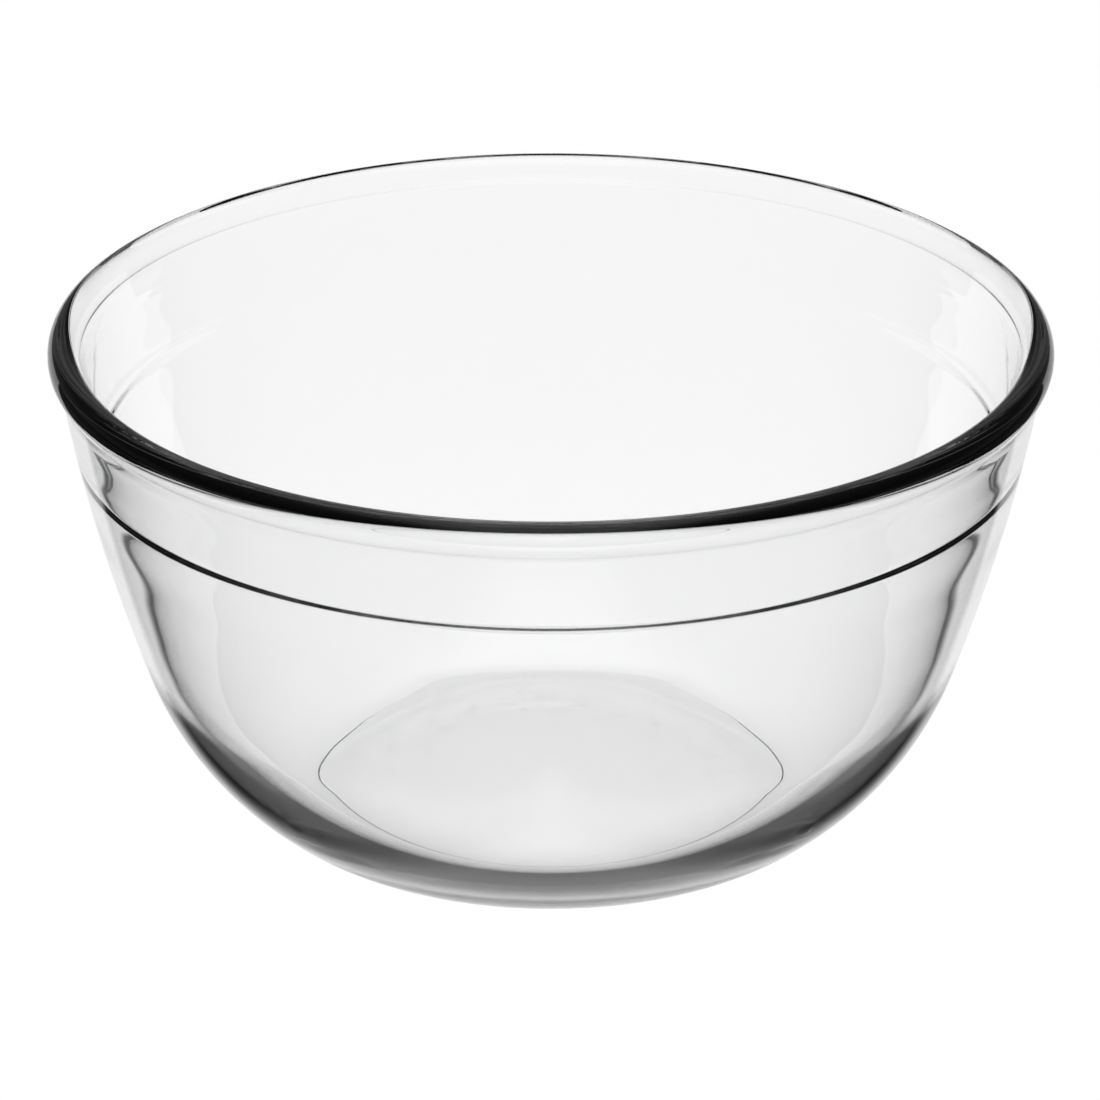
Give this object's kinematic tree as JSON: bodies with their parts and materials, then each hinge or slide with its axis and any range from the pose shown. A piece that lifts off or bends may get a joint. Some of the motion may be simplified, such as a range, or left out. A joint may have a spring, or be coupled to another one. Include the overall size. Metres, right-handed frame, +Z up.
{
  "type": "glass bowl",
  "caption": "Round clear glass mixing bowl with a rolled rim bead, an upright neck above a slight inner ledge, a deep curved side and a low flat foot ring.",
  "frame": {"origin": "centre of the plane that the foot ring rests on", "axes": "+Z up along the bowl's axis of revolution; X and Y are any two level directions, since the bowl is the same all round"},
  "size_m": [0.21, 0.21, 0.1095],
  "materials": {
    "clear_glass": "clear, smooth, fire-polished pressed glass"
  },
  "bodies": {
    "root": {"bowl": "clear_glass"}
  },
  "joints": []
}
